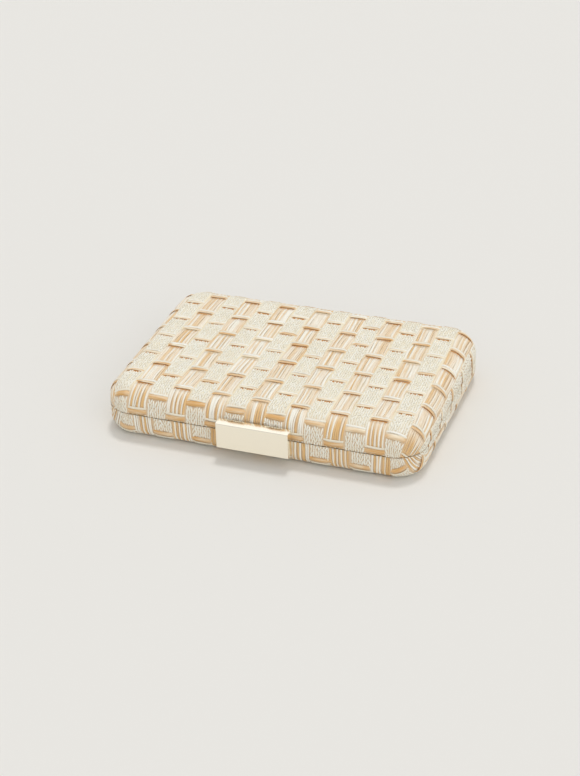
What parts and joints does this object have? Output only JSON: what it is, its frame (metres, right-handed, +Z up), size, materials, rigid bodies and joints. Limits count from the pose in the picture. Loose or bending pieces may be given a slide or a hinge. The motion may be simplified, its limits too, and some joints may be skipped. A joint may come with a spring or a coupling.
{
  "type": "straw box clutch",
  "caption": "Hard box clutch covered in checked straw and tape weave, with a lid hinged at the back and a plain pale gold clasp bar that tilts at the front.",
  "frame": {"origin": "on the floor under the middle of the whole clutch", "axes": "+X along the length, +Y towards the hinge, +Z up through the lid"},
  "size_m": [0.189, 0.1409, 0.031],
  "materials": {
    "straw_weave": "woven straw and tape",
    "shell_board": "moulded, plain",
    "lining_cloth": "plain woven lining",
    "gold_plate": "polished pale gold plate",
    "pin_steel": "plain turned",
    "magnet_steel": "nickel plated"
  },
  "bodies": {
    "base": {"base_cover": "straw_weave", "base_shell": "shell_board", "base_lining": "lining_cloth", "hinge_base_leaf_left": "gold_plate", "hinge_base_leaf_right": "gold_plate", "hinge_pin_left": "pin_steel", "hinge_pin_right": "pin_steel", "clasp_keeper": "magnet_steel"},
    "lid": {"lid_cover": "straw_weave", "lid_shell": "shell_board", "lid_lining": "lining_cloth", "hinge_lid_leaf_left": "gold_plate", "hinge_lid_leaf_right": "gold_plate", "clasp_bracket": "gold_plate", "clasp_backing": "pin_steel", "clasp_pivot_pin_left": "pin_steel", "clasp_pivot_pin_right": "pin_steel"},
    "clasp": {"clasp_bar": "gold_plate", "clasp_magnet": "magnet_steel"}
  },
  "joints": [
    {"name": "lid_hinge", "type": "hinge", "parent": "base", "child": "lid", "pos_m": [0, 0.06875, 0.0155], "axis": [-1, 0, 0], "range_deg": [0, 100]},
    {"name": "clasp_tilt", "type": "hinge", "parent": "lid", "child": "clasp", "pos_m": [0, -0.06615, 0.0194], "axis": [-1, 0, 0], "range_deg": [0, 15]}
  ]
}
